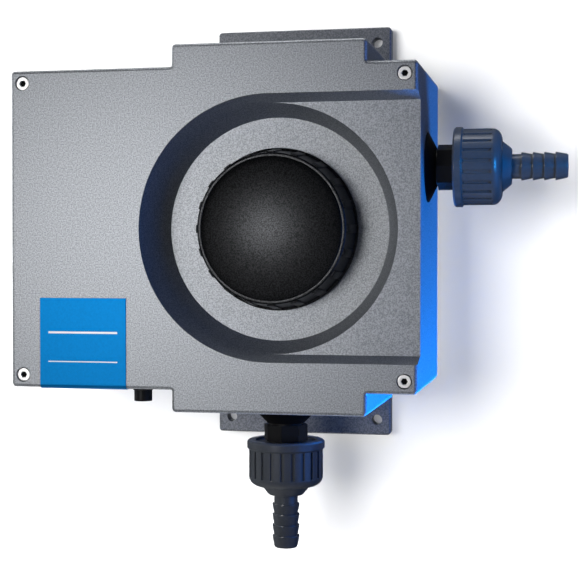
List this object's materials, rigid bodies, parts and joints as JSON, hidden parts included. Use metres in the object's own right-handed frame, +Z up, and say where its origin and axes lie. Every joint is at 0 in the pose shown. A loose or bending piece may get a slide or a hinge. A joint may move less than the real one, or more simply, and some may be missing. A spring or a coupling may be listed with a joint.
{
  "type": "turbidity meter",
  "caption": "Wall-mounted process turbidity meter with a round screw lid over its measuring cell and hose unions at the side and below.",
  "frame": {"origin": "centre of the wall bolt pattern, on the back face of the mounting plate and in line with the measuring cell", "axes": "+Z up, +Y into the wall, +X to the right of someone who faces the lid"},
  "size_m": [0.2967, 0.1105, 0.2966],
  "materials": {
    "housing_plastic": "fine grained moulded plastic",
    "plate_paint": "textured paint",
    "chassis_metal": "satin",
    "rubber": "matt",
    "steel": "satin",
    "cell_plastic": "machined",
    "lid_plastic": "fine grained",
    "pipe_plastic": "smooth moulded",
    "black_plastic": "smooth",
    "window_glass": "polished",
    "optic_metal": "turned",
    "wiper_plastic": "smooth",
    "wiper_rubber": "soft",
    "motor_metal": "plain",
    "board": "solder mask",
    "terminal_plastic": "moulded",
    "contact_plastic": "smooth",
    "label_blue": "printed plate"
  },
  "bodies": {
    "housing": {"front_cover": "housing_plastic", "mounting_plate": "plate_paint", "chassis": "chassis_metal", "housing_seal": "rubber", "cover_screws": "steel", "plate_screws": "steel", "cell_screws": "steel", "board_screws": "steel", "flow_cell": "cell_plastic", "cell_pillars": "steel", "cell_windows": "window_glass", "light_source": "optic_metal", "scatter_detectors": "optic_metal", "shaft_seal": "rubber", "wiper_motor": "motor_metal", "motor_bracket": "chassis_metal", "circuit_board": "board", "board_standoffs": "steel", "terminal_block": "terminal_plastic", "cable_socket": "black_plastic", "socket_insert": "contact_plastic", "socket_nut": "black_plastic", "label_plate": "label_blue", "outlet_adaptor": "black_plastic", "outlet_union_seal": "rubber", "outlet_grommet": "rubber", "inlet_adaptor": "black_plastic", "inlet_union_seal": "rubber", "inlet_grommet": "rubber"},
    "lid_ring": {"lid_seal": "rubber"},
    "lid": {"cell_lid": "lid_plastic"},
    "outlet_hose_tail": {"outlet_tail": "pipe_plastic"},
    "outlet_union_nut": {"outlet_nut": "pipe_plastic"},
    "inlet_hose_tail": {"inlet_tail": "pipe_plastic"},
    "inlet_union_nut": {"inlet_nut": "pipe_plastic"},
    "wiper": {"wiper_shaft": "steel", "wiper_arm": "wiper_plastic", "wiper_blade": "wiper_rubber", "motor_shaft": "steel"}
  },
  "joints": [
    {"name": "lid_travel", "type": "slide", "parent": "housing", "child": "lid_ring", "axis": [0, -1, 0], "range_m": [0, 0.0151]},
    {"name": "lid_turn", "type": "hinge", "parent": "lid_ring", "child": "lid", "pos_m": [0, -0.092, 0], "axis": [0, -1, 0], "range_deg": [0, 1080]},
    {"name": "outlet_travel", "type": "slide", "parent": "housing", "child": "outlet_hose_tail", "axis": [1, 0, 0], "range_m": [0, 0.0127]},
    {"name": "outlet_nut_turn", "type": "hinge", "parent": "outlet_hose_tail", "child": "outlet_union_nut", "pos_m": [0.1051, -0.062, 0.0336], "axis": [1, 0, 0], "range_deg": [0, 1980]},
    {"name": "inlet_travel", "type": "slide", "parent": "housing", "child": "inlet_hose_tail", "axis": [0, 0, -1], "range_m": [0, 0.0127]},
    {"name": "inlet_nut_turn", "type": "hinge", "parent": "inlet_hose_tail", "child": "inlet_union_nut", "pos_m": [0, -0.062, -0.1284], "axis": [0, 0, -1], "range_deg": [0, 1980]},
    {"name": "wiper_turn", "type": "hinge", "parent": "housing", "child": "wiper", "pos_m": [0, -0.05, 0], "axis": [0, -1, 0], "continuous": true}
  ],
  "couplings": [
    {"joint": "lid_travel", "follows": "lid_turn", "m_per_rad": 0.00079577},
    {"joint": "outlet_nut_turn", "follows": "outlet_travel", "rad_per_m": 2721.2},
    {"joint": "inlet_nut_turn", "follows": "inlet_travel", "rad_per_m": 2721.2}
  ]
}
